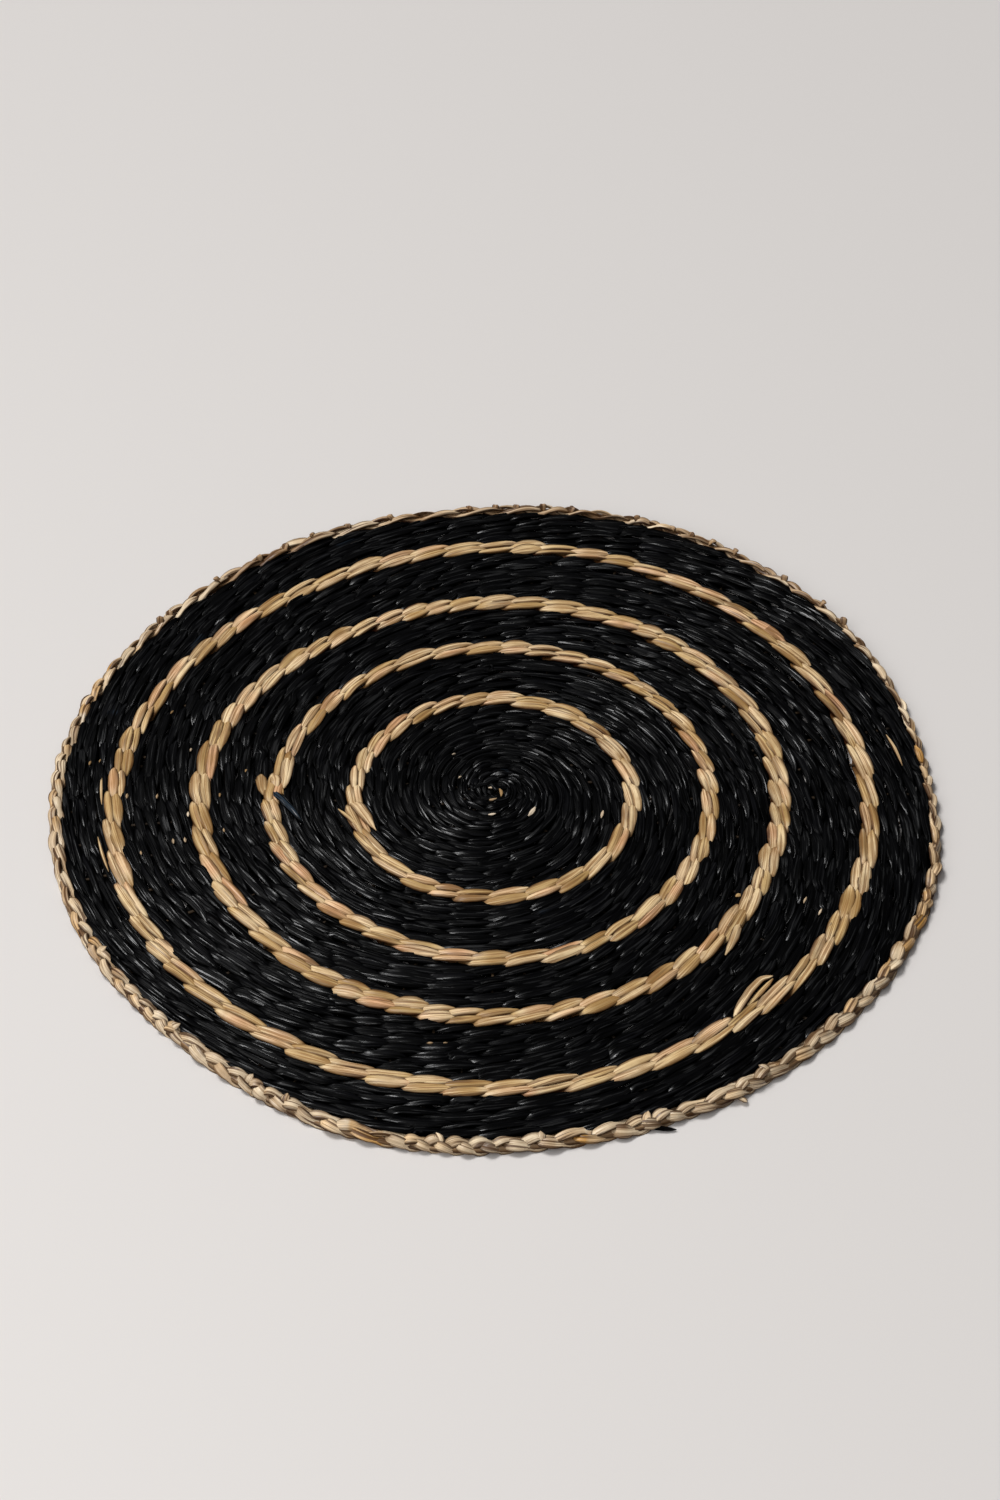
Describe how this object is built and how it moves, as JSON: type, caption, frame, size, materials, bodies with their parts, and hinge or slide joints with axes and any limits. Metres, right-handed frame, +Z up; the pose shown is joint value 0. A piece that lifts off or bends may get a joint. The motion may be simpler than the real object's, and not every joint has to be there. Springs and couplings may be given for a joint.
{
  "type": "woven seagrass placemat",
  "caption": "Round flat placemat of twined seagrass, black with natural rings and a plaited natural rim, that lies on a table under a plate or a hot dish.",
  "frame": {"origin": "middle of the flat underside, on the table", "axes": "+Z up out of the table, +X to the right and +Y away from the viewer"},
  "size_m": [0.3803, 0.3804, 0.0056],
  "materials": {
    "black_seagrass": "dyed black, satin",
    "natural_seagrass": "undyed, dull satin",
    "rim_seagrass": "undyed, plaited, dull satin",
    "spoke_stalk": "undyed stalk, matt"
  },
  "bodies": {
    "root": {"spokes": "spoke_stalk", "black_centre": "black_seagrass", "black_band_1": "black_seagrass", "black_band_2": "black_seagrass", "black_band_3": "black_seagrass", "black_band_4": "black_seagrass", "natural_ring_1": "natural_seagrass", "natural_ring_2": "natural_seagrass", "natural_ring_3": "natural_seagrass", "natural_ring_4": "natural_seagrass", "rim_plait": "rim_seagrass"}
  },
  "joints": []
}
